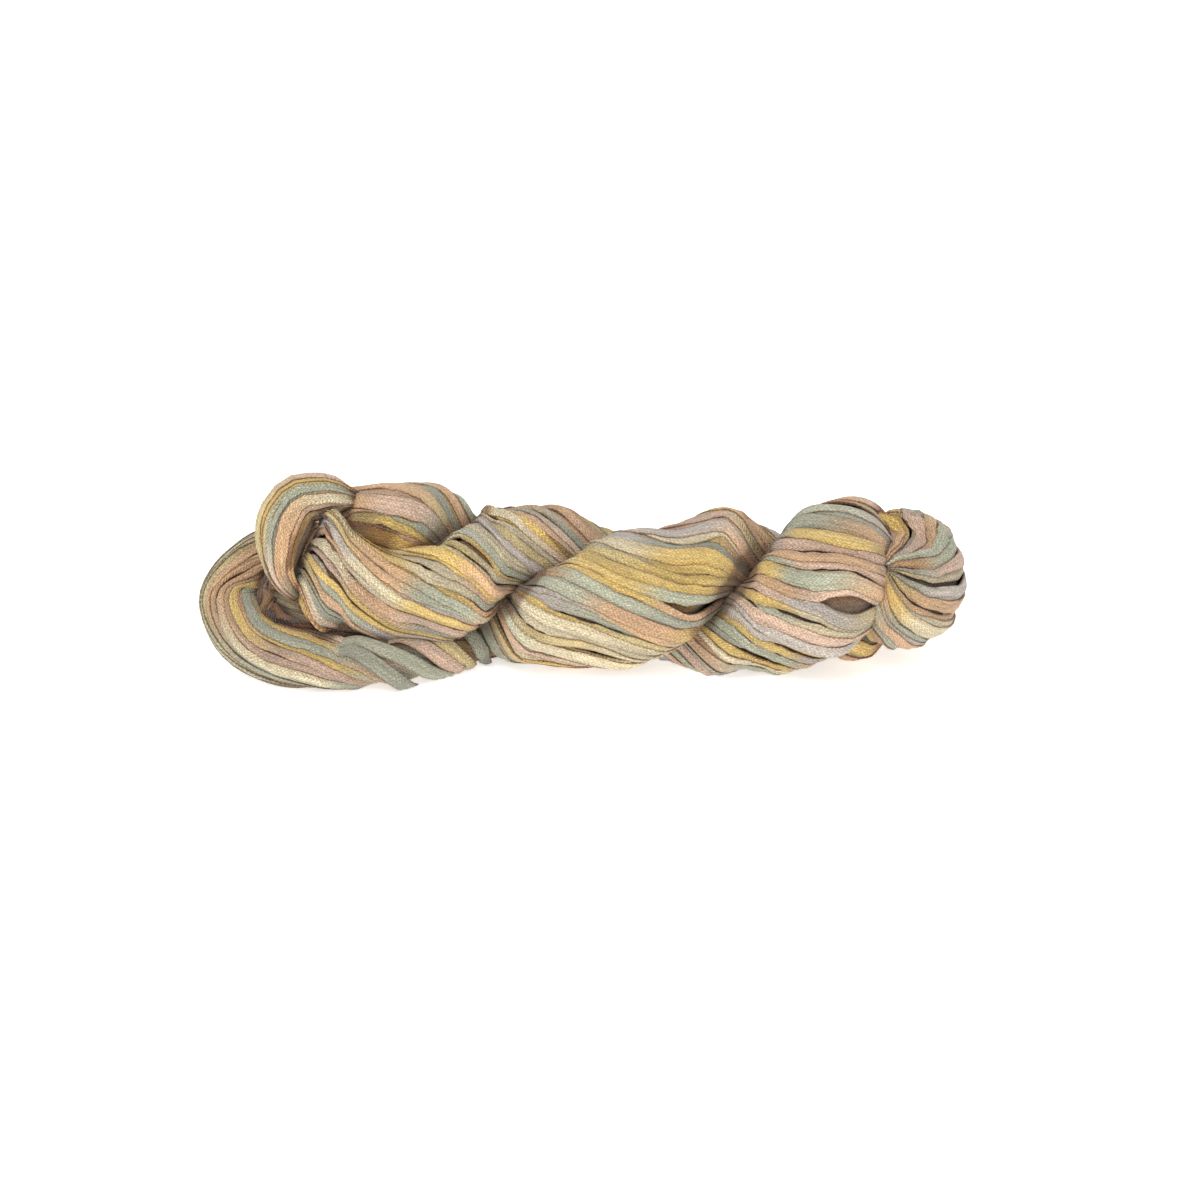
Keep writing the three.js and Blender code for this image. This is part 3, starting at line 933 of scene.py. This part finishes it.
def aim_camera(scene):
    """Camera at the photograph's angle, with colours shown as they are."""
    lens = bpy.data.cameras.new("camera")
    lens.lens = VIEW_LENS
    lens.sensor_width = VIEW_SENSOR
    camera = bpy.data.objects.new("camera", lens)
    away = Vector(TO_VIEWER)
    camera.location = (Vector(VIEW_TARGET) + away * VIEW_DISTANCE) * MM
    camera.rotation_euler = (-away).to_track_quat("-Z", "Y").to_euler()
    scene.collection.objects.link(camera)
    scene.camera = camera
    scene.view_settings.view_transform = "Standard"


# Operators

class SKEIN_OT_lay_core(bpy.types.Operator):
    """Lay the inner yarn that fills the plies below their ribbons"""
    bl_idname = "skein.lay_core"
    bl_label = "Lay inner yarn"

    def execute(self, context):
        forms = skein_forms()
        make_core("inner_yarn", [forms[name].tube for name in PLY_PIECES],
                  shaded_yarn(context.scene.ribbon_dyes.core))
        return {"FINISHED"}


class SKEIN_OT_wind_plies(bpy.types.Operator):
    """Wind the ribbons of the two plies"""
    bl_idname = "skein.wind_plies"
    bl_label = "Wind plies"

    def execute(self, context):
        wind_forms(context.scene, *PLY_PIECES)
        return {"FINISHED"}


class SKEIN_OT_wind_fold(bpy.types.Operator):
    """Wind the ribbons that fan out at the fold"""
    bl_idname = "skein.wind_fold"
    bl_label = "Wind fold"

    def execute(self, context):
        wind_forms(context.scene, "fold_ribbons")
        return {"FINISHED"}


class SKEIN_OT_wind_hood(bpy.types.Operator):
    """Wind the ribbons of the hood"""
    bl_idname = "skein.wind_hood"
    bl_label = "Wind hood"

    def execute(self, context):
        wind_forms(context.scene, "hood_ribbons")
        return {"FINISHED"}


class SKEIN_OT_wind_loops(bpy.types.Operator):
    """Wind the ribbons of the open loop and of the turns inside it"""
    bl_idname = "skein.wind_loops"
    bl_label = "Wind loops"

    def execute(self, context):
        wind_forms(context.scene, *LOOP_PIECES)
        return {"FINISHED"}


class SKEIN_OT_set_stage(bpy.types.Operator):
    """Set the pale floor, the soft light and the photograph's camera"""
    bl_idname = "skein.set_stage"
    bl_label = "Set stage"

    def execute(self, context):
        lay_floor(context.scene)
        light_stage(context.scene)
        aim_camera(context.scene)
        return {"FINISHED"}


class SKEIN_PT_skein(bpy.types.Panel):
    """Makes the skein's pieces and its stage"""
    bl_label = "Ribbon yarn skein"
    bl_idname = "SKEIN_PT_skein"
    bl_space_type = "VIEW_3D"
    bl_region_type = "UI"
    bl_category = "Skein"

    def draw(self, context):
        for group in (context.scene.ribbon_sizes, context.scene.ribbon_dyes, context.scene.stage_colours):
            for key in group.__annotations__:
                self.layout.prop(group, key)
        for operator in OPERATORS:
            self.layout.operator(operator.bl_idname)


GROUPS = {"ribbon_sizes": RibbonSizes, "ribbon_dyes": RibbonDyes, "stage_colours": StageColours}
OPERATORS = (SKEIN_OT_lay_core, SKEIN_OT_wind_plies, SKEIN_OT_wind_fold, SKEIN_OT_wind_hood,
             SKEIN_OT_wind_loops, SKEIN_OT_set_stage)
CLASSES = (*GROUPS.values(), *OPERATORS, SKEIN_PT_skein)


def register():
    """Adds the classes and the scene's properties."""
    for cls in CLASSES:
        bpy.utils.register_class(cls)
    for key, group in GROUPS.items():
        setattr(bpy.types.Scene, key, bpy.props.PointerProperty(type=group))


def unregister():
    """Takes away the scene's properties and the classes."""
    for key in GROUPS:
        delattr(bpy.types.Scene, key)
    for cls in reversed(CLASSES):
        bpy.utils.unregister_class(cls)


def main():
    """Makes the skein and its stage."""
    register()
    bpy.ops.skein.lay_core()
    bpy.ops.skein.wind_plies()
    bpy.ops.skein.wind_fold()
    bpy.ops.skein.wind_hood()
    bpy.ops.skein.wind_loops()
    bpy.ops.skein.set_stage()
    bpy.context.view_layer.update()


if __name__ == "__main__":
    main()
